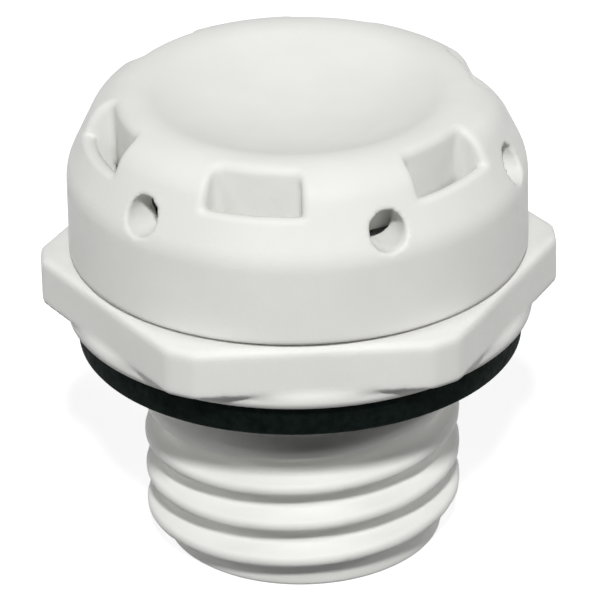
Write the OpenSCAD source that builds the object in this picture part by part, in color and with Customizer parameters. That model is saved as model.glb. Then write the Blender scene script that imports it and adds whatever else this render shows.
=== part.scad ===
// Breather vent plug: a moulded plug body with a hexagon and a thread,
// a slotted snap-on cap, a flat sealing gasket and a breathing membrane.
// The plug stands on the end of its threaded shank, with +Z up along its axis.

/* [Threaded shank] */
// Outside diameter of the thread
thread_d = 11.8; // [10:0.1:16]
// Pitch of the thread
thread_pitch = 1.5; // [1:0.05:2]
// Depth of the thread groove
thread_depth = 0.65; // [0.5:0.05:0.9]
// Width of the flat left on each thread crest
crest_w = 0.35; // [0.25:0.05:0.6]
// Length of the shank below the sealing face
shank_l = 8.05; // [6:0.05:14]
// How far the plain end lies below the thread's root
core_step = 0.05; // [0.05:0.05:0.3]
// Height of the plain end below the first thread
end_l = 0.55; // [0.4:0.05:1]
// Height of the taper that leads into the thread
lead_h = 0.3; // [0.2:0.05:0.8]
// Diameter of the breathing bore through the shank
bore_d = 6.4; // [5:0.1:7]
// Edge break around both rims of the shank end
end_break = 0.15; // [0.1:0.05:0.3]

/* [Gasket] */
// Width of the flat gasket's ring, from its inside to its outside
gasket_w = 2.2; // [1.6:0.05:3]
// Thickness of the flat gasket
gasket_t = 1.3; // [0.8:0.1:2]
// Room between the gasket and the thread that it passes over
gasket_room = 0.15; // [0.1:0.05:0.3]

/* [Flange] */
// How far the round collar stands out past the gasket
collar_out = 0.38; // [0:0.02:0.8]
// Height of the round collar
collar_h = 0.5; // [0.4:0.05:1]
// Hexagon size across its flats
hex_af = 17; // [16:0.1:22]
// How much is trimmed off each corner of the hexagon
hex_trim = 0.31; // [0.1:0.01:0.6]
// Height of the hexagon
hex_h = 1.85; // [1.4:0.05:4]

/* [Spigot] */
// Diameter of the recess that holds the membrane
recess_d = 11.2; // [9:0.1:14]
// Depth of that recess below the top of the spigot
recess_depth = 1.2; // [0.8:0.05:1.6]
// Thickness of the spigot's wall around the recess
spigot_t = 1.55; // [1.4:0.05:2]
// Height of the spigot above the hexagon
spigot_h = 2.95; // [2.4:0.05:4]
// How far the snap bead stands out from the spigot
bead_out = 0.18; // [0.1:0.02:0.25]
// Height of the snap bead
bead_h = 0.6; // [0.4:0.05:0.8]
// Width of the bars that support the membrane
support_w = 0.8; // [0.5:0.1:1.2]
// Height of the bars that support the membrane
support_h = 1.2; // [0.8:0.1:2]

/* [Membrane] */
// Thickness of the membrane
membrane_t = 0.3; // [0.2:0.05:0.5]
// Gap between the membrane's edge and its recess
membrane_room = 0.2; // [0.1:0.05:0.3]

/* [Cap] */
// Thickness of the skirt at the cap's lower edge
skirt_t = 1.2; // [1:0.05:1.45]
// How far the skirt narrows from its lower edge to the shoulder
skirt_draft = 0.04; // [0:0.02:0.1]
// Height of the rim's crest above the top of the spigot
crown_h = 3.27; // [3.1:0.01:4]
// Seam left open between the cap and the hexagon
seam = 0.12; // [0.05:0.01:0.3]
// Room between the cap and the spigot
cap_room = 0.1; // [0.05:0.01:0.15]
// Slope of the shoulder, measured from the axis
shoulder_slope = 25; // [22:0.5:28]
// Radius that rounds the shoulder into the skirt
shoulder_r = 2; // [1:0.1:2.5]
// Distance of the rim's crest in from the cap's lower edge
rim_in = 2.55; // [2.4:0.05:3]
// Radius that rounds the rim
rim_r = 1.83; // [1.5:0.01:2]
// Depth of the dished top below the rim's crest
dish_depth = 1.2; // [0.8:0.05:1.4]
// Thickness of the cap under the middle of the dish
dish_t = 0.8; // [0.6:0.05:1]
// Thickness of the outer shell around the channel
shell_t = 1.05; // [0.9:0.05:1.1]
// Turn of the cap on the hexagon
cap_turn = -15.5; // [-30:0.5:30]

/* [Vents] */
// Number of windows around the shoulder
window_count = 6; // [4:1:6]
// Angle that each window spans
window_angle = 27; // [20:1:30]
// Height of the windows' lower lip above the top of the spigot
window_lip_h = 1.87; // [1.75:0.01:2.1]
// Thickness of the inner wall behind the windows
baffle_t = 0.9; // [0.75:0.05:0.95]
// Angle that the rib on each side of a window spans
rib_angle = 4; // [3:0.5:5]
// Gap under the inner wall that the air passes through
breath_gap = 0.4; // [0.3:0.05:0.6]
// Angle that each foot under the inner wall spans
foot_angle = 14; // [10:1:20]
// Diameter of the round drain holes
drain_d = 1.4; // [1:0.1:1.5]
// Height of the drain holes above the top of the spigot
drain_h = 1.07; // [1.02:0.01:1.2]
// Thickness of the short tube inside each drain hole
tube_t = 0.25; // [0.15:0.05:0.25]
// Turn of the first drain hole from the window before it
drain_turn_a = 35.5; // [26:0.5:36]
// Turn of the second drain hole from the window before it
drain_turn_b = 26.5; // [26:0.5:36]
// Turn of the third drain hole from the window before it
drain_turn_c = 29; // [26:0.5:36]

/* [Hidden] */
plastic = [0.83, 0.83, 0.81];
rubber = [0.03, 0.04, 0.035];
fluoro = [0.95, 0.95, 0.93];
// Facets in a full circle, facets of the thread in one turn, and steps along the cap's arcs
$fn = 96;
turn_steps = 37;
shoulder_steps = 4;
rim_steps = 14;
dish_steps = 8;
// Overlap that keeps a cut clear of the face it opens
over = 0.5;

// Heights along the axis, from the shank's end
seal_z = shank_l;
collar_z = seal_z + gasket_t;
hex_z = collar_z + collar_h;
hex_top_z = hex_z + hex_h;
spigot_z = hex_top_z + spigot_h;
seat_z = spigot_z - recess_depth;
cap_z = hex_top_z + seam;
crest_z = spigot_z + crown_h;
lip_z = spigot_z + window_lip_h;
drain_z = spigot_z + drain_h;
baffle_z = spigot_z + breath_gap;

// Thread: the groove is cut into the shank, and stops short of the plain neck inside the gasket
thread_r = thread_d / 2;
root_r = thread_r - thread_depth;
core_r = root_r - core_step;
neck_z = seal_z - thread_pitch / 3;
thread_turn = 106.8;
flank_angle = 25;
groove_reach = 0.3;

// Gasket and flange: the gasket clears the thread, and the collar covers the gasket
gasket_r = thread_r + gasket_room;
gasket_d = 2 * (gasket_r + gasket_w);
collar_d = gasket_d + 2 * collar_out;
hex_corner_d = hex_af / cos(30) - 2 * hex_trim;

// Cap outline: the shoulder runs from the rounded rim down to the skirt
recess_r = recess_d / 2;
spigot_r = recess_r + spigot_t;
bore_r = spigot_r + cap_room;
cap_r = bore_r + skirt_t;
skirt_r = cap_r - skirt_draft;
rim_c = cap_r - rim_in;
rim_c_z = crest_z - rim_r;
rim_end_r = rim_c + rim_r * cos(shoulder_slope);
rim_end_z = rim_c_z + rim_r * sin(shoulder_slope);
shoulder_z = rim_end_z - (skirt_r - rim_end_r) / tan(shoulder_slope);
shoulder_c_z = shoulder_z - shoulder_r * tan(shoulder_slope / 2);
dish_r = (rim_c * rim_c + dish_depth * dish_depth) / (2 * dish_depth) - rim_r;
dish_c_z = crest_z - dish_depth + dish_r;
dish_lean = atan2(rim_c, dish_c_z - rim_c_z);
ceiling_z = crest_z - dish_depth - dish_t;

// Cap inside: the skirt's bore, the chamber, and the channel behind the shell
bead_z = hex_top_z + spigot_h / 2;
chamber_r = recess_r;
baffle_r = chamber_r + baffle_t;
shell_step = shell_t / cos(shoulder_slope);
channel_top_w = 0.15;
channel_top_r = baffle_r + channel_top_w;
window_r = baffle_r + channel_top_w / 2;
slot_out = 0.05;
slot_r = bore_r + slot_out;
slot_z = (spigot_z + baffle_z) / 2;
rib_lift = 0.1;
rib_z = baffle_z + rib_lift;
rib_in = 0.25;
foot_in = 0.1;
tube_gap = 0.25;
tube_in = 0.1;

// Points along an arc, from one angle to another
function arc(x, z, r, from, to, steps) =
    [for (i = [0:steps]) let (a = from + (to - from) * i / steps) [x + r * cos(a), z + r * sin(a)]];

// Radius of the shoulder's slope at a height
function shoulder_at(z) = skirt_r - (z - shoulder_z) * tan(shoulder_slope);

// Height at which the inside of the shell reaches a radius
function shell_z_at(r) = shoulder_z + (skirt_r - r - shell_step) / tan(shoulder_slope);

// Half width of the thread groove at a radius
function groove_half(r) = (thread_pitch - crest_w) / 2 - (thread_r - r) * tan(flank_angle);

// One section of the groove, at a turn in degrees and its height on the helix
function groove_section(turn) =
    let (z = turn / 360 * thread_pitch, side = turn + thread_turn, top_r = thread_r + groove_reach)
    [for (p = [[root_r, -1], [top_r, -1], [top_r, 1], [root_r, 1]])
        [p[0] * cos(side), p[0] * sin(side), z + p[1] * groove_half(p[0])]];

// Helical cutter that leaves the thread, from below the shank's end up to the plain neck
module thread_groove() {
    first = -turn_steps;
    last = floor(neck_z / thread_pitch * turn_steps);
    count = last - first;
    points = [for (i = [first:last]) each groove_section(i * 360 / turn_steps)];
    sides = [for (i = [0:count - 1], k = [0:3])
        [4 * i + k, 4 * i + (k + 1) % 4, 4 * i + 4 + (k + 1) % 4, 4 * i + 4 + k]];
    ends = [[3, 2, 1, 0], [for (k = [0:3]) 4 * count + k]];
    polyhedron(points = points, faces = concat(sides, ends));
}

// Repeats its children around the axis, on every window's turn
module around_windows() {
    for (i = [0:window_count - 1])
        rotate([0, 0, cap_turn - 90 + i * 360 / window_count])
            children();
}

// Turns its flat outline through an angle that is centred on +X
module sector(angle) {
    rotate([0, 0, -angle / 2])
        rotate_extrude(angle = angle)
            children();
}

// Outline of the solid shank, with its tapered plain end
module shank_outline() {
    polygon([
        [0, 0],
        [core_r - end_break, 0],
        [core_r, end_break],
        [core_r, end_l],
        [thread_r, end_l + lead_h],
        [thread_r, collar_z + over],
        [0, collar_z + over]
    ]);
}

// Outline of the spigot, with its snap bead
module spigot_outline() {
    polygon([
        [0, hex_top_z - over],
        [spigot_r, hex_top_z - over],
        [spigot_r, bead_z - bead_h / 2],
        [spigot_r + bead_out, bead_z],
        [spigot_r, bead_z + bead_h / 2],
        [spigot_r, spigot_z],
        [0, spigot_z]
    ]);
}

// Outline of the passage from the shank's end to the membrane's recess
module passage_outline() {
    bore_half = bore_d / 2;
    polygon([
        [0, -over],
        [bore_half + end_break + over, -over],
        [bore_half, end_break],
        [bore_half, seat_z],
        [recess_r, seat_z],
        [recess_r, spigot_z + over],
        [0, spigot_z + over]
    ]);
}

// Crossed bars in the bore's mouth that carry the middle of the membrane
module membrane_support() {
    for (turn = [0, 90])
        rotate([0, 0, turn])
            translate([-bore_d / 2 - over / 2, -support_w / 2, seat_z - support_h])
                cube([bore_d + over, support_w, support_h]);
}

// Body: threaded shank, collar, hexagon and spigot in one moulding
module threaded_body() {
    color(plastic) {
        difference() {
            union() {
                difference() {
                    rotate_extrude() shank_outline();
                    thread_groove();
                }
                translate([0, 0, collar_z])
                    cylinder(d = collar_d, h = collar_h);
                translate([0, 0, hex_z])
                    intersection() {
                        cylinder(d = hex_af / cos(30), h = hex_h, $fn = 6);
                        cylinder(d = hex_corner_d, h = hex_h);
                    }
                rotate_extrude() spigot_outline();
            }
            rotate_extrude() passage_outline();
        }
        membrane_support();
    }
}

// Outside of the cap: skirt, rounded shoulder, rim, and dished top with a small flat in its middle
module cap_outline() {
    dish = arc(0, dish_c_z, dish_r, dish_lean - 90, dish_lean / dish_steps - 90, dish_steps);
    polygon(concat(
        [[0, cap_z], [cap_r, cap_z]],
        arc(skirt_r - shoulder_r, shoulder_c_z, shoulder_r, 0, shoulder_slope, shoulder_steps),
        arc(rim_c, rim_c_z, rim_r, shoulder_slope, 90 + dish_lean, rim_steps),
        [for (i = [1:dish_steps]) dish[i]],
        [[0, dish[dish_steps][1]]]
    ));
}

// Hollow inside the cap: the spigot's bore with its snap groove,
// the chamber over the membrane and the channel behind the windows
module cap_hollow() {
    polygon([
        [0, cap_z - over],
        [bore_r, cap_z - over],
        [bore_r, bead_z - bead_h / 2],
        [bore_r + bead_out, bead_z],
        [bore_r, bead_z + bead_h / 2],
        [bore_r, shell_z_at(bore_r)],
        [channel_top_r, shell_z_at(channel_top_r)],
        [baffle_r, shell_z_at(channel_top_r)],
        [baffle_r, baffle_z],
        [chamber_r, baffle_z],
        [chamber_r, ceiling_z],
        [0, ceiling_z]
    ]);
}

// Outline of the filling that ribs the channel around a window
module rib_outline() {
    polygon([
        [baffle_r - rib_in, rib_z],
        [bore_r + rib_in, rib_z],
        [bore_r + rib_in, shell_z_at(bore_r)],
        [channel_top_r + rib_in, shell_z_at(channel_top_r)],
        [baffle_r - rib_in, shell_z_at(channel_top_r) + rib_in]
    ]);
}

// Outline of a window: its back lies along the inner wall, its lip is cut square to the shoulder,
// and a slot runs down behind the lip to the gap under the inner wall
module window_outline() {
    lip_r = shoulder_at(lip_z);
    lip_rise = tan(shoulder_slope);
    polygon([
        [window_r, slot_z],
        [slot_r, slot_z],
        [slot_r, lip_z - (lip_r - slot_r) * lip_rise],
        [2 * cap_r, lip_z + (2 * cap_r - lip_r) * lip_rise],
        [window_r, 2 * crest_z]
    ]);
}

// Outline of a foot under the inner wall
module foot_outline() {
    translate([chamber_r + foot_in, spigot_z])
        square([baffle_t - 2 * foot_in, breath_gap + over / 2]);
}

// Turn of the drain hole that follows a window
drain_turns = [drain_turn_a, drain_turn_b, drain_turn_c];
function drain_turn(i) = i * 360 / window_count + drain_turns[i % 3];

// Repeats its children on every drain hole's axis, which runs out along +Z from the start radius
module around_drains(start) {
    for (i = [0:window_count - 1])
        rotate([0, 0, cap_turn - 90 + drain_turn(i)])
            translate([start, 0, drain_z])
                rotate([0, 90, 0])
                    children();
}

// Cap: windows run down through the channel, drain holes open into it, and feet rest on the spigot
module vent_cap() {
    color(plastic) {
        difference() {
            union() {
                rotate_extrude()
                    difference() {
                        cap_outline();
                        cap_hollow();
                    }
                around_windows()
                    sector(window_angle + 2 * rib_angle) rib_outline();
                around_drains(baffle_r + tube_gap)
                    cylinder(d = drain_d + 2 * tube_t, h = bore_r + tube_in - baffle_r - tube_gap);
            }
            around_windows()
                sector(window_angle) window_outline();
            around_drains(baffle_r + tube_gap / 2)
                cylinder(d = drain_d, h = cap_r);
        }
        around_windows()
            sector(foot_angle) foot_outline();
    }
}

// Flat rubber gasket around the neck, under the collar
module sealing_gasket() {
    color(rubber)
        translate([0, 0, seal_z])
            difference() {
                cylinder(d = gasket_d, h = gasket_t);
                translate([0, 0, -over])
                    cylinder(r = gasket_r, h = gasket_t + 2 * over);
            }
}

// Breathing membrane on its seat in the spigot
module vent_membrane() {
    color(fluoro)
        translate([0, 0, seat_z])
            cylinder(d = recess_d - 2 * membrane_room, h = membrane_t);
}

threaded_body();
vent_cap();
sealing_gasket();
vent_membrane();
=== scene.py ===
# Breather vent plug: soft moulded shapes, materials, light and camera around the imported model.
# Sizes are in millimetres until a mesh is made, and are those of the part's source.
import math

import bpy
import numpy as np
from mathutils import Matrix, Vector


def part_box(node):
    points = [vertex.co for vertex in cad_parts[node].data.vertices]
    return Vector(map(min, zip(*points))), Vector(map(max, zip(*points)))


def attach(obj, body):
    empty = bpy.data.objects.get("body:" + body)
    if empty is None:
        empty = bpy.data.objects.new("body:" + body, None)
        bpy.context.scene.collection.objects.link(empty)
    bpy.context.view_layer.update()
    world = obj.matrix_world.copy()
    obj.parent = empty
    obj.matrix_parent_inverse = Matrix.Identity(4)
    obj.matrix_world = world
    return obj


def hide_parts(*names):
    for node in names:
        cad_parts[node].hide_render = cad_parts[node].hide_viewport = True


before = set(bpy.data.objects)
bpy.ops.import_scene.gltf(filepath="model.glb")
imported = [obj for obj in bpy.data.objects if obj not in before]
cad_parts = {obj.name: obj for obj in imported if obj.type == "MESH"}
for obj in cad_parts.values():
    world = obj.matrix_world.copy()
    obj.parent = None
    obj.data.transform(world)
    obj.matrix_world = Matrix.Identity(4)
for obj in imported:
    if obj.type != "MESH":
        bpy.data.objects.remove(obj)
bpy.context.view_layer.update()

MM = 0.001
TURN = 2 * math.pi
front_turn = math.radians(-90)

# Heights along the axis
collar_height = 0.5
hex_height = 1.85
spigot_height = 2.95
seal_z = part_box("sealing_gasket")[0].z / MM
collar_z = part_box("sealing_gasket")[1].z / MM
hex_z = collar_z + collar_height
hex_top_z = hex_z + hex_height
spigot_z = hex_top_z + spigot_height
seat_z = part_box("vent_membrane")[0].z / MM
cap_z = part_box("vent_cap")[0].z / MM
crest_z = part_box("vent_cap")[1].z / MM

# Shank and thread
thread_r = 5.9
root_r = 5.25
core_r = 5.2
pitch = 1.5
crest_half = 0.175
crest_edge = 0.07
root_fill = 0.1
thread_turn = math.radians(106.8)
flank_angle = math.radians(25)
plain_end = 0.55
lead_height = 0.3
lead_edge = 0.12
neck_drop = 0.3
shank_sunk = 0.3
bore_half = 3.2
end_break = 0.15
passage_edge = 0.06

# Bars across the bore, under the film
bar_half = 0.4
bar_height = 1.2
bar_sunk = 0.2
bar_edge = 0.06

# Gasket, collar and hexagon
gasket_clearance = 0.15
gasket_in = thread_r + gasket_clearance
gasket_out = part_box("sealing_gasket")[1].x / MM
gasket_bulge = 0.05
gasket_edge = 0.1
collar_overhang = 0.38
collar_r = gasket_out + collar_overhang
collar_edge = 0.06
hex_sides = 6
hex_half = 8.5
hex_corner_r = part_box("threaded_body")[1].x / MM
hex_corner_edge = 0.05
hex_top_edge = 0.28
hex_low_edge = 0.12
head_fill = 0.12

# Spigot and recess
recess_r = 5.6
spigot_r = 7.15
spigot_sunk = 0.5
bead_out = 0.18
bead_half = 0.3
bead_z = (hex_top_z + spigot_z) / 2

# Outside of the cap
cap_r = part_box("vent_cap")[1].x / MM
skirt_draft = 0.04
shoulder_draft = 0.03
skirt_edge = 0.12
slope = math.radians(25)
rim_r = 1.83
rim_inset = 2.55
rim_c = cap_r - rim_inset
rim_c_z = crest_z - rim_r
rim_end_r = rim_c + rim_r * math.cos(slope)
rim_end_z = rim_c_z + rim_r * math.sin(slope)
dish_depth = 1.2
dish_r = (rim_c ** 2 + dish_depth ** 2) / (2 * dish_depth) - rim_r
dish_c_z = crest_z - dish_depth + dish_r

# Inside of the cap: bore, inner wall and the channel around it
cap_clearance = 0.1
bore_r = spigot_r + cap_clearance
roof_thickness = 0.8
ceiling_z = crest_z - dish_depth - roof_thickness
baffle_thickness = 0.9
baffle_gap = 0.4
baffle_r = recess_r + baffle_thickness
baffle_z = spigot_z + baffle_gap
shell_thickness = 1.05
shell_step = shell_thickness / math.cos(slope)
channel_width = 0.15
channel_top_r = baffle_r + channel_width
hollow_edge = 0.06

# Windows, with their slots, ribs and feet
window_count = 6
cap_turn = front_turn - math.radians(15.5)
window_half = math.radians(13.5)
window_out = 0.075
window_r = baffle_r + window_out
window_edge = 0.25
window_corner = 0.3
lip_height = 1.87
lip_z = spigot_z + lip_height
lip_r = rim_end_r + (rim_end_z - lip_z) * math.tan(slope)
slot_out = 0.05
slot_r = bore_r + slot_out
slot_z = (spigot_z + baffle_z) / 2
slot_fill = 0.08
opening_edge = 0.03
rib_angle = math.radians(4)
rib_half = window_half + rib_angle
rib_in = 0.55
rib_lift = 0.1
rib_root = 0.4
curtain_depth = 1.0
curtain_floor = 0.1
foot_half = math.radians(7)
foot_width = 0.7
foot_height = 0.6
foot_r = (recess_r + baffle_r) / 2

# Drain holes, each with a short inner tube: turns in degrees after a window, and reach in radians
drain_turns = [35.5, 26.5, 29]
drain_height = 1.07
drain_z = spigot_z + drain_height
drain_half = 0.7
drain_edge = 0.03
drain_reach = 1
tube_wall = 0.25
tube_gap = 0.25
tube_sunk = 0.1
tube_half = drain_half + tube_wall
tube_start = baffle_r + tube_gap
tube_end = bore_r + tube_sunk
hole_lead = 0.12

# How far outlines run out past the axis or an open end
run_out = 5
skirt_run_out = 10
passage_run_out = 1


def round_both(a, b, radius):
    """Part that is inside both fields, with its outside edge rounded."""
    u = np.maximum(a + radius, 0)
    v = np.maximum(b + radius, 0)
    return np.minimum(np.maximum(a, b), -radius) + np.hypot(u, v)


def round_either(a, b, radius):
    """Part that is inside either field, with its inside corner filled."""
    return -round_both(-a, -b, radius)


def slab(value, middle, thickness):
    """Part between two parallel faces, the same distance each side of a middle."""
    return np.abs(value - middle) - thickness / 2


def segment_gap(r, z, start, end):
    """Distance in the section plane from points to a straight line between two points."""
    dr = end[0] - start[0]
    dz = end[1] - start[1]
    share = np.clip(((r - start[0]) * dr + (z - start[1]) * dz) / (dr * dr + dz * dz), 0, 1)
    return np.hypot(r - start[0] - share * dr, z - start[1] - share * dz)


def outline_field(points, r, z):
    """Signed distance in the section plane to a closed outline, negative inside."""
    gap = np.inf
    inside = False
    for start, end in zip(points, points[1:] + points[:1]):
        gap = np.minimum(gap, segment_gap(r, z, start, end))
        if start[1] != end[1]:
            across = start[0] + (z - start[1]) / (end[1] - start[1]) * (end[0] - start[0])
            inside = inside ^ (((start[1] > z) != (end[1] > z)) & (r < across))
    return np.where(inside, -gap, gap)


def folded(t, turn, count):
    """Angle from the nearest of several evenly spaced turns."""
    part = TURN / count
    return (t - turn + part / 2) % part - part / 2


def neighbours(values, axis):
    """Each value of a grid and the next one along an axis, where the turns close on themselves."""
    if axis == 0:
        return values, np.roll(values, -1, 0)
    head = [slice(None)] * 3
    tail = [slice(None)] * 3
    head[axis] = slice(0, -1)
    tail[axis] = slice(1, None)
    return values[tuple(head)], values[tuple(tail)]


def edges_at(values, offset, shape):
    """Values on the grid lines at an offset from each cell, one for each cell."""
    if offset.get(0):
        values = np.roll(values, -1, 0)
    take = [slice(None)] * 3
    for k in (1, 2):
        if k in offset:
            take[k] = slice(offset[k], offset[k] + shape[k])
    return values[tuple(take)]


def net_faces(cuts, index):
    """Four-sided faces, one across each grid line that the surface cuts."""
    shape = index.shape
    faces = []
    for axis, (cut, near_in) in enumerate(cuts):
        a = (axis + 1) % 3
        b = (axis + 2) % 3
        at = np.argwhere(cut)
        fits = np.ones(len(at), bool)
        for k in (a, b):
            if k != 0:
                fits &= (at[:, k] > 0) & (at[:, k] < shape[k])
        at = at[fits]
        ring = []
        for da, db in ((1, 1), (0, 1), (0, 0), (1, 0)):
            q = at.copy()
            q[:, a] -= da
            q[:, b] -= db
            q[:, 0] %= shape[0]
            ring.append(index[q[:, 0], q[:, 1], q[:, 2]])
        ring = np.column_stack(ring)
        out = near_in[at[:, 0], at[:, 1], at[:, 2]]
        faces.append(np.where(out[:, None], ring, ring[:, ::-1]))
    return np.vstack(faces)


def net_of(field, turns, r_span, z_span, step):
    """Points and faces of a field's surface, on a grid of turns, radii and heights."""
    r = np.arange(r_span[0], r_span[1] + step, step)
    z = np.arange(z_span[0], z_span[1] + step, step)
    t = np.arange(turns) * TURN / turns
    f = field(t[:, None, None], r[None, :, None], z[None, None, :])
    f = np.broadcast_to(f, (turns, len(r), len(z))).astype(np.float32)
    shape = (turns, len(r) - 1, len(z) - 1)
    total = np.zeros(shape + (3,), np.float32)
    count = np.zeros(shape, np.float32)
    cuts = []
    for axis in range(3):
        near, far = neighbours(f, axis)
        near_in, far_in = neighbours(f < 0, axis)
        cut = near_in != far_in
        share = np.where(cut, near / np.where(cut, near - far, 1), 0)
        cuts.append((cut, near_in))
        others = [k for k in range(3) if k != axis]
        for first in (0, 1):
            for second in (0, 1):
                offset = {others[0]: first, others[1]: second}
                crossed = edges_at(cut, offset, shape)
                total[..., axis] += edges_at(share, offset, shape)
                for k in offset:
                    total[..., k] += crossed * offset[k]
                count += crossed
    used = count > 0
    index = np.full(shape, -1, np.int64)
    index[used] = np.arange(used.sum())
    spot = np.argwhere(used) + total[used] / count[used][:, None]
    points = np.column_stack([
        spot[:, 0] * TURN / turns,
        r[0] + spot[:, 1] * step,
        z[0] + spot[:, 2] * step,
    ])
    return points, net_faces(cuts, index)


def open_rims(points, faces):
    """Edge pairs of the small holes that the grid leaves around the axis, one group for each height."""
    level_gap = 0.3
    pairs = np.vstack([faces[:, [k, (k + 1) % 4]] for k in range(4)])
    key = np.sort(pairs, axis=1)
    _, where, times = np.unique(key, axis=0, return_index=True, return_counts=True)
    edge = pairs[where[times == 1]]
    if len(edge) == 0:
        return []
    heights = points[edge[:, 0], 2]
    order = np.argsort(heights)
    splits = np.where(np.diff(heights[order]) > level_gap)[0] + 1
    return [edge[group][:, ::-1] for group in np.split(order, splits)]


def settle(field, points, step):
    """Places of the points in space, after they are moved onto the field's surface."""
    rounds = 4
    probe = 0.004
    least_slope = 0.05
    least_r = 0.01
    t, r, z = points.T.copy()
    for _ in range(rounds):
        value = field(t, r, z)
        slope_r = (field(t, r + probe, z) - field(t, r - probe, z)) / (2 * probe)
        slope_z = (field(t, r, z + probe) - field(t, r, z - probe)) / (2 * probe)
        slope_t = (field(t + probe / r, r, z) - field(t - probe / r, r, z)) / (2 * probe)
        size = np.maximum(slope_r ** 2 + slope_z ** 2 + slope_t ** 2, least_slope)
        move = np.clip(value / size, -step, step)
        t = t - move * slope_t / r
        r = np.maximum(r - move * slope_r, least_r)
        z = z - move * slope_z
    return np.column_stack([r * np.cos(t), r * np.sin(t), z])


def make_piece(name, field, turns, r_span, z_span, step, node):
    """Mesh of a field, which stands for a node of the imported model."""
    points, faces = net_of(field, turns, r_span, z_span, step)
    places = settle(field, points, step)
    corners = [tuple(q) for q in faces.tolist()]
    middles = []
    for pairs in open_rims(points, faces):
        middle = len(places) + len(middles)
        rim = places[pairs[:, 0]]
        middles.append((0.0, 0.0, float(rim[:, 2].mean())))
        corners += [(int(a), int(b), middle) for a, b in pairs]
    if middles:
        places = np.vstack([places, middles])
    mesh = bpy.data.meshes.new(name)
    mesh.from_pydata((places * MM).tolist(), [], corners)
    mesh.update()
    mesh.polygons.foreach_set("use_smooth", np.ones(len(mesh.polygons), bool))
    piece = bpy.data.objects.new(name, mesh)
    bpy.context.scene.collection.objects.link(piece)
    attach(piece, "root")
    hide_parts(node)
    return piece


def cap_outside(r, z):
    """Skirt, shoulder, rounded rim and dished top, measured from their inset outline."""
    inset_skirt = cap_r - rim_r
    draft = skirt_draft / (crest_z - cap_z)
    over_dish = dish_r + rim_r - np.hypot(r, z - dish_c_z)
    over_cone = (r - rim_c) * math.cos(slope) + (z - rim_c_z) * math.sin(slope)
    over_skirt = r - inset_skirt + draft * (z - cap_z)
    outside = np.maximum(np.maximum(over_dish, over_cone), over_skirt)
    corner_z = rim_c_z - (inset_skirt - shoulder_draft - rim_c) / math.tan(slope)
    corner_r = inset_skirt - draft * (corner_z - cap_z)
    bottom = (inset_skirt + draft * skirt_run_out, cap_z - skirt_run_out)
    gap = np.minimum(segment_gap(r, z, (rim_c, rim_c_z), (corner_r, corner_z)),
                     segment_gap(r, z, (corner_r, corner_z), bottom))
    faces_dish = r * (dish_c_z - rim_c_z) < rim_c * (dish_c_z - z)
    gap = np.where(faces_dish, np.minimum(gap, np.abs(over_dish)), gap)
    return np.where(outside > 0, gap, -gap) - rim_r


def shell_z_at(r):
    """Height at which the inside of the cap's shell reaches a radius."""
    return rim_end_z + (rim_end_r - shell_step - r) / math.tan(slope)


channel_top_z = shell_z_at(channel_top_r)
cap_hollow = [
    (-run_out, cap_z - run_out),
    (bore_r, cap_z - run_out),
    (bore_r, bead_z - bead_half),
    (bore_r + bead_out, bead_z),
    (bore_r, bead_z + bead_half),
    (bore_r, shell_z_at(bore_r)),
    (channel_top_r, channel_top_z),
    (baffle_r, channel_top_z),
    (baffle_r, baffle_z),
    (recess_r, baffle_z),
    (recess_r, ceiling_z),
    (-run_out, ceiling_z),
]

# The ribs close the channel behind the windows, and reach into the walls around it
rib_top_z = channel_top_z + rib_in
rib_outline = [
    (baffle_r - rib_in, baffle_z + rib_lift),
    (bore_r + rib_in, baffle_z + rib_lift),
    (bore_r + rib_in, baffle_z + rib_in),
    (channel_top_r + rib_in, rib_top_z),
    (baffle_r - rib_in, rib_top_z + rib_root),
]


def window_walls(a, r, z):
    """Back wall and sides of the windows, with a thin floor and sides for their slots."""
    heights = np.maximum(slot_z - curtain_floor - z, z - lip_z)
    curtain = np.maximum(heights, slab(r, window_r + curtain_depth / 2, curtain_depth))
    rib = np.minimum(outline_field(rib_outline, r, z), curtain)
    return np.maximum(rib, r * np.sin(a - rib_half))


def window_opening(a, r, z):
    """What a window takes away: all above its lip, and the slot behind it."""
    above_lip = (r - lip_r) * math.sin(slope) - (z - lip_z) * math.cos(slope)
    slot = np.maximum(r - slot_r, slot_z - z)
    sides = round_both(r * np.sin(a - window_half), window_r - r, window_corner)
    return round_both(round_either(above_lip, slot, slot_fill), sides, opening_edge)


def with_drains(body, t, r, z):
    """The cap with its drain holes, each pattern repeated half a turn round."""
    for i, turn in enumerate(drain_turns):
        b = folded(t, cap_turn + i * TURN / window_count + math.radians(turn), 2)
        along = np.where(np.abs(b) < drain_reach, r * np.cos(b), 0)
        across = np.hypot(r * np.sin(b), z - drain_z)
        tube = np.maximum(across - tube_half, np.maximum(tube_start - along, along - tube_end))
        hole = np.maximum(across - drain_half, tube_start - hole_lead - along)
        body = round_both(np.minimum(body, tube), -hole, drain_edge)
    return body


def cap_field(t, r, z):
    """The snap-on cap, with its windows, drain holes and feet."""
    a = np.abs(folded(t, cap_turn, window_count))
    skin = round_both(cap_outside(r, z), cap_z - z, skirt_edge)
    body = round_both(skin, -outline_field(cap_hollow, r, z), hollow_edge)
    body = with_drains(np.minimum(body, window_walls(a, r, z)), t, r, z)
    body = round_both(body, -window_opening(a, r, z), window_edge)
    foot = np.maximum(slab(r, foot_r, foot_width), slab(z, spigot_z + foot_height / 2, foot_height))
    return np.minimum(body, np.maximum(foot, r * np.sin(a - foot_half)))


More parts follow.
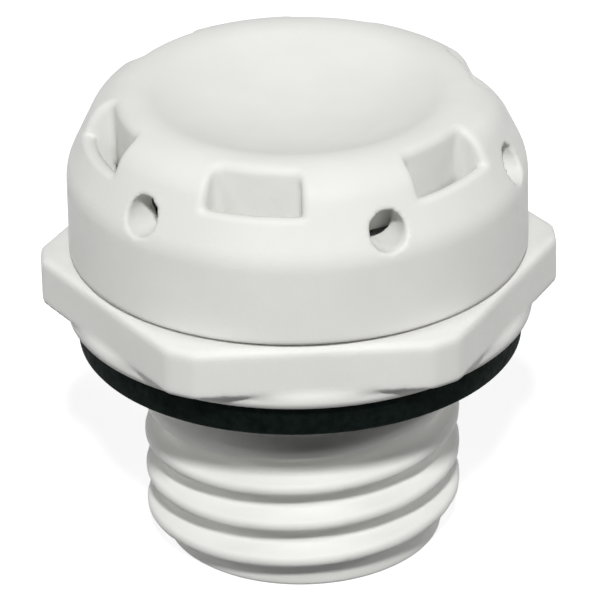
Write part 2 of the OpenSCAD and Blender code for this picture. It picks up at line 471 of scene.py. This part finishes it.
spigot_outline = [
    (-run_out, hex_top_z - spigot_sunk),
    (spigot_r, hex_top_z - spigot_sunk),
    (spigot_r, bead_z - bead_half),
    (spigot_r + bead_out, bead_z),
    (spigot_r, bead_z + bead_half),
    (spigot_r, spigot_z),
    (-run_out, spigot_z),
]
passage_outline = [
    (-run_out, -passage_run_out),
    (bore_half + end_break + passage_run_out, -passage_run_out),
    (bore_half, end_break),
    (bore_half, seat_z),
    (recess_r, seat_z),
    (recess_r, spigot_z + passage_run_out),
    (-run_out, spigot_z + passage_run_out),
]


def thread_field(t, r, z):
    """Moulded thread with rounded crests and filled roots, tapered at its start, and the neck above it."""
    rise = (z - pitch * (t - thread_turn) / TURN) / pitch
    from_crest = np.abs((rise - np.floor(rise)) - 0.5) * pitch
    flank = (from_crest - crest_half - (thread_r - r) * math.tan(flank_angle)) * math.cos(flank_angle)
    ridge = round_both(flank, r - thread_r, crest_edge)
    turned = round_either(ridge, r - root_r, root_fill)
    lead = thread_r - core_r
    lower = ((r - core_r) * lead_height - (z - plain_end) * lead) / math.hypot(lead, lead_height)
    neck = np.maximum(r - thread_r, seal_z - neck_drop - z)
    return np.minimum(round_both(turned, lower, lead_edge), neck)


def hexagon(t, r):
    """Distance outside the hexagon's sides, with its corners rounded off by a circle."""
    a = folded(t, front_turn, hex_sides)
    return round_both(r * np.cos(a) - hex_half, r - hex_corner_r, hex_corner_edge)


def bore_bars(t, r, z):
    """Two crossed bars that carry the film over the bore."""
    across = np.minimum(np.abs(r * np.cos(t)), np.abs(r * np.sin(t))) - bar_half
    bars = round_both(across, slab(z, seat_z - bar_height / 2, bar_height), bar_edge)
    return np.maximum(bars, r - bore_half - bar_sunk)


def body_field(t, r, z):
    """Threaded shank, collar, hexagon and spigot with the passage through them."""
    shank = round_both(np.minimum(r - core_r, thread_field(t, r, z)), -z, end_break)
    shank = np.maximum(shank, z - collar_z - shank_sunk)
    collar = round_both(r - collar_r, slab(z, (collar_z + hex_z) / 2, hex_z - collar_z), collar_edge)
    nut = round_both(round_both(hexagon(t, r), z - hex_top_z, hex_top_edge), hex_z - z, hex_low_edge)
    head = round_either(nut, collar, head_fill)
    body = np.minimum(np.minimum(shank, head), outline_field(spigot_outline, r, z))
    body = round_both(body, -outline_field(passage_outline, r, z), passage_edge)
    return np.minimum(body, bore_bars(t, r, z))


def gasket_field(t, r, z):
    """Flat rubber ring with a slightly bulged outer wall."""
    half = (collar_z - seal_z) / 2
    level = (z - (seal_z + collar_z) / 2) / half
    bulge = gasket_bulge * (1 - np.clip(level, -1, 1) ** 2)
    walls = np.maximum(r - gasket_out + gasket_bulge - bulge, gasket_in - r)
    return round_both(walls, np.abs(level) * half - half, gasket_edge)


# The grids start just off the axis and reach a little past each piece
axis_gap = 0.08
margin = 0.4
cap = make_piece(
    "vent_cap_moulding", cap_field, turns=340, step=0.12,
    r_span=(axis_gap, 9.0), z_span=(cap_z - margin, crest_z + margin),
    node="vent_cap")
body = make_piece(
    "plug_body_moulding", body_field, turns=280, step=0.15,
    r_span=(axis_gap, 10.0), z_span=(-margin, spigot_z + margin),
    node="threaded_body")
gasket = make_piece(
    "gasket_ring", gasket_field, turns=240, step=0.1,
    r_span=(4.6, 8.8), z_span=(seal_z - margin, collar_z + margin),
    node="sealing_gasket")


def node_material(name, colour, roughness):
    """Material with a principled shader, and its node tree."""
    material = bpy.data.materials.new(name)
    material.use_nodes = True
    shader = material.node_tree.nodes["Principled BSDF"]
    shader.inputs["Base Color"].default_value = (*colour, 1)
    shader.inputs["Roughness"].default_value = roughness
    return material, material.node_tree, shader


def noise_node(tree, scale, detail):
    """Noise over the object's own coordinates, in metres."""
    place = tree.nodes.new("ShaderNodeTexCoord")
    noise = tree.nodes.new("ShaderNodeTexNoise")
    noise.inputs["Scale"].default_value = scale
    noise.inputs["Detail"].default_value = detail
    tree.links.new(place.outputs["Object"], noise.inputs["Vector"])
    return noise


def spread(tree, source, socket, low, high):
    """Feeds a socket with a noise mapped onto a range of values."""
    ramp = tree.nodes.new("ShaderNodeMapRange")
    ramp.inputs["From Min"].default_value = 0.3
    ramp.inputs["From Max"].default_value = 0.7
    ramp.inputs["To Min"].default_value = low
    ramp.inputs["To Max"].default_value = high
    tree.links.new(source.outputs["Fac"], ramp.inputs["Value"])
    tree.links.new(ramp.outputs["Result"], socket)


def tint(tree, source, socket, low, high):
    """Feeds a colour socket with a noise mixed between two colours."""
    ramp = tree.nodes.new("ShaderNodeValToRGB")
    ramp.color_ramp.elements[0].position = 0.35
    ramp.color_ramp.elements[1].position = 0.65
    ramp.color_ramp.elements[0].color = (*low, 1)
    ramp.color_ramp.elements[1].color = (*high, 1)
    tree.links.new(source.outputs["Fac"], ramp.inputs["Fac"])
    tree.links.new(ramp.outputs["Color"], socket)


def add_bump(tree, source, shader, strength, depth):
    """Fine surface texture from a noise, with its depth in millimetres."""
    bump = tree.nodes.new("ShaderNodeBump")
    bump.inputs["Strength"].default_value = strength
    bump.inputs["Distance"].default_value = depth * MM
    tree.links.new(source.outputs["Fac"], bump.inputs["Height"])
    tree.links.new(bump.outputs["Normal"], shader.inputs["Normal"])


def plastic_material(name):
    """Pale satin plastic with a fine moulded grain and a faint cloudiness."""
    pale = (0.80, 0.80, 0.775)
    shade = (0.775, 0.775, 0.75)
    material, tree, shader = node_material(name, pale, roughness=0.45)
    shader.inputs["Specular IOR Level"].default_value = 0.1
    clouds = noise_node(tree, scale=420, detail=3)
    patches = noise_node(tree, scale=2600, detail=2)
    grain = noise_node(tree, scale=7500, detail=3)
    tint(tree, clouds, shader.inputs["Base Color"], low=shade, high=pale)
    spread(tree, patches, shader.inputs["Roughness"], low=0.4, high=0.52)
    add_bump(tree, grain, shader, strength=0.22, depth=0.03)
    return material


def rubber_material(name):
    """Matte black sheet rubber with a dusty grain."""
    black = (0.0005, 0.0025, 0.002)
    dusty = (0.004, 0.0075, 0.006)
    material, tree, shader = node_material(name, (0.003, 0.005, 0.004), roughness=0.8)
    shader.inputs["Specular IOR Level"].default_value = 0.05
    dust = noise_node(tree, scale=3800, detail=4)
    patches = noise_node(tree, scale=2400, detail=2)
    grain = noise_node(tree, scale=6500, detail=3)
    tint(tree, dust, shader.inputs["Base Color"], low=black, high=dusty)
    spread(tree, patches, shader.inputs["Roughness"], low=0.66, high=0.85)
    add_bump(tree, grain, shader, strength=0.35, depth=0.04)
    return material


def film_material(name):
    """White porous film with a fibrous face."""
    pores = (0.78, 0.78, 0.76)
    fibres = (0.92, 0.92, 0.9)
    material, tree, shader = node_material(name, (0.9, 0.9, 0.88), roughness=0.8)
    weave = noise_node(tree, scale=3000, detail=5)
    grain = noise_node(tree, scale=7000, detail=5)
    tint(tree, weave, shader.inputs["Base Color"], low=pores, high=fibres)
    add_bump(tree, grain, shader, strength=0.5, depth=0.04)
    return material


def wear(piece, material):
    """Puts one material on a piece."""
    piece.data.materials.clear()
    piece.data.materials.append(material)


wear(cap, plastic_material("cap_plastic_look"))
wear(body, plastic_material("body_plastic_look"))
wear(gasket, rubber_material("gasket_rubber_look"))
wear(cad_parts["vent_membrane"], film_material("membrane_film_look"))


def area_light(name, azimuth, height, level, size):
    """Soft square lamp around the object, at a level that lights a white face to that value."""
    away = 0.45
    aim = Vector((0, 0, 9 * MM))
    side = math.radians(azimuth)
    lift = math.radians(height)
    out = Vector((math.sin(side) * math.cos(lift), -math.cos(side) * math.cos(lift), math.sin(lift)))
    light = bpy.data.lights.new(name, "AREA")
    light.shape = "SQUARE"
    light.size = size
    light.energy = level * (math.pi * away) ** 2
    lamp = bpy.data.objects.new(name, light)
    lamp.location = aim + out * away
    lamp.rotation_euler = out.to_track_quat("Z", "Y").to_euler()
    bpy.context.scene.collection.objects.link(lamp)


def larger(tree, first, second):
    """Socket with the larger of two sockets' values."""
    node = tree.nodes.new("ShaderNodeMath")
    node.operation = "MAXIMUM"
    tree.links.new(first, node.inputs[0])
    tree.links.new(second, node.inputs[1])
    return node.outputs[0]


def seen_ray(tree):
    """Socket that is 1 for rays that show the background: camera, glossy and transmission rays."""
    path = tree.nodes.new("ShaderNodeLightPath")
    seen = larger(tree, path.outputs["Is Camera Ray"], path.outputs["Is Glossy Ray"])
    return larger(tree, seen, path.outputs["Is Transmission Ray"])


def mixed(tree, share, first, second):
    """Shader socket that goes from one shader to another as a share goes from 0 to 1."""
    mix = tree.nodes.new("ShaderNodeMixShader")
    tree.links.new(share, mix.inputs["Fac"])
    tree.links.new(first, mix.inputs[1])
    tree.links.new(second, mix.inputs[2])
    return mix.outputs[0]


def make_world(level):
    """White background where it is seen, and a soft grey light elsewhere."""
    world = bpy.data.worlds.new("studio")
    bpy.context.scene.world = world
    world.use_nodes = True
    tree = world.node_tree
    lit = tree.nodes["Background"]
    lit.inputs["Color"].default_value = (1, 1, 1, 1)
    lit.inputs["Strength"].default_value = level
    white = tree.nodes.new("ShaderNodeBackground")
    white.inputs["Color"].default_value = (1, 1, 1, 1)
    white.inputs["Strength"].default_value = 1
    sky = mixed(tree, seen_ray(tree), lit.outputs[0], white.outputs[0])
    tree.links.new(sky, tree.nodes["World Output"].inputs["Surface"])


def floor_material(seen, bounce, glow):
    """Grey for the light that it throws back, near white where it is seen, and clear from below."""
    material = bpy.data.materials.new("floor_look")
    material.use_nodes = True
    tree = material.node_tree
    tree.nodes.clear()
    dull = tree.nodes.new("ShaderNodeBsdfDiffuse")
    dull.inputs["Color"].default_value = (bounce, bounce, bounce, 1)
    bright = tree.nodes.new("ShaderNodeBsdfDiffuse")
    bright.inputs["Color"].default_value = (seen, seen, seen, 1)
    shine = tree.nodes.new("ShaderNodeEmission")
    shine.inputs["Strength"].default_value = glow
    both = tree.nodes.new("ShaderNodeAddShader")
    tree.links.new(bright.outputs[0], both.inputs[0])
    tree.links.new(shine.outputs[0], both.inputs[1])
    clear = tree.nodes.new("ShaderNodeBsdfTransparent")
    under = tree.nodes.new("ShaderNodeNewGeometry").outputs["Backfacing"]
    top = mixed(tree, seen_ray(tree), dull.outputs[0], both.outputs[0])
    surface = mixed(tree, under, top, clear.outputs[0])
    tree.links.new(surface, tree.nodes.new("ShaderNodeOutputMaterial").inputs["Surface"])
    return material


def make_floor(half, material):
    """Square floor, in metres, that the plug stands on and throws its shadow on."""
    mesh = bpy.data.meshes.new("floor")
    corners = [(-half, -half, 0), (half, -half, 0), (half, half, 0), (-half, half, 0)]
    mesh.from_pydata(corners, [], [(0, 1, 2, 3)])
    floor = bpy.data.objects.new("floor", mesh)
    bpy.context.scene.collection.objects.link(floor)
    mesh.materials.append(material)


make_world(level=0.01)
make_floor(half=3.0, material=floor_material(seen=0.55, bounce=0.28, glow=0.78))
area_light("front_light", azimuth=-3, height=47, level=0.83, size=0.045)
area_light("left_light", azimuth=-68, height=31, level=0.18, size=0.1)
area_light("right_light", azimuth=68, height=31, level=0.19, size=0.1)
area_light("back_left_light", azimuth=-130, height=24, level=0.16, size=0.12)
area_light("back_right_light", azimuth=130, height=24, level=0.16, size=0.12)

# Camera: fitted to the photo's outlines, and aimed near the middle of the gasket's underside
eye_away = 177.127
elevation = math.radians(27.994)
turn = math.radians(-3.07)
roll = math.radians(-1.119)
focus_px = 4762.94
frame_px = 600
aim_right = 0.007
aim_up = 1.041
eye = Vector((0, -eye_away * math.cos(elevation), eye_away * math.sin(elevation)))
ahead = -eye.normalized()
right = ahead.cross(Vector((0, 0, 1))).normalized()
aim = right * aim_right + right.cross(ahead) * aim_up
ahead = (aim - eye).normalized()
level_right = ahead.cross(Vector((0, 0, 1))).normalized()
level_up = level_right.cross(ahead)
right = level_right * math.cos(roll) + level_up * math.sin(roll)
up = level_up * math.cos(roll) - level_right * math.sin(roll)
spin = Matrix.Rotation(turn, 3, "Z")
place = spin @ eye + Vector((0, 0, seal_z))
facing = Matrix((spin @ right, spin @ up, spin @ -ahead)).transposed()
lens = bpy.data.cameras.new("camera")
lens.sensor_width = 36
lens.lens = lens.sensor_width * focus_px / frame_px
lens.clip_start = 0.01
lens.clip_end = 20
camera = bpy.data.objects.new("camera", lens)
camera.matrix_world = Matrix.Translation(place * MM) @ facing.to_4x4()
bpy.context.scene.collection.objects.link(camera)
bpy.context.scene.camera = camera
bpy.context.scene.view_settings.view_transform = "Standard"
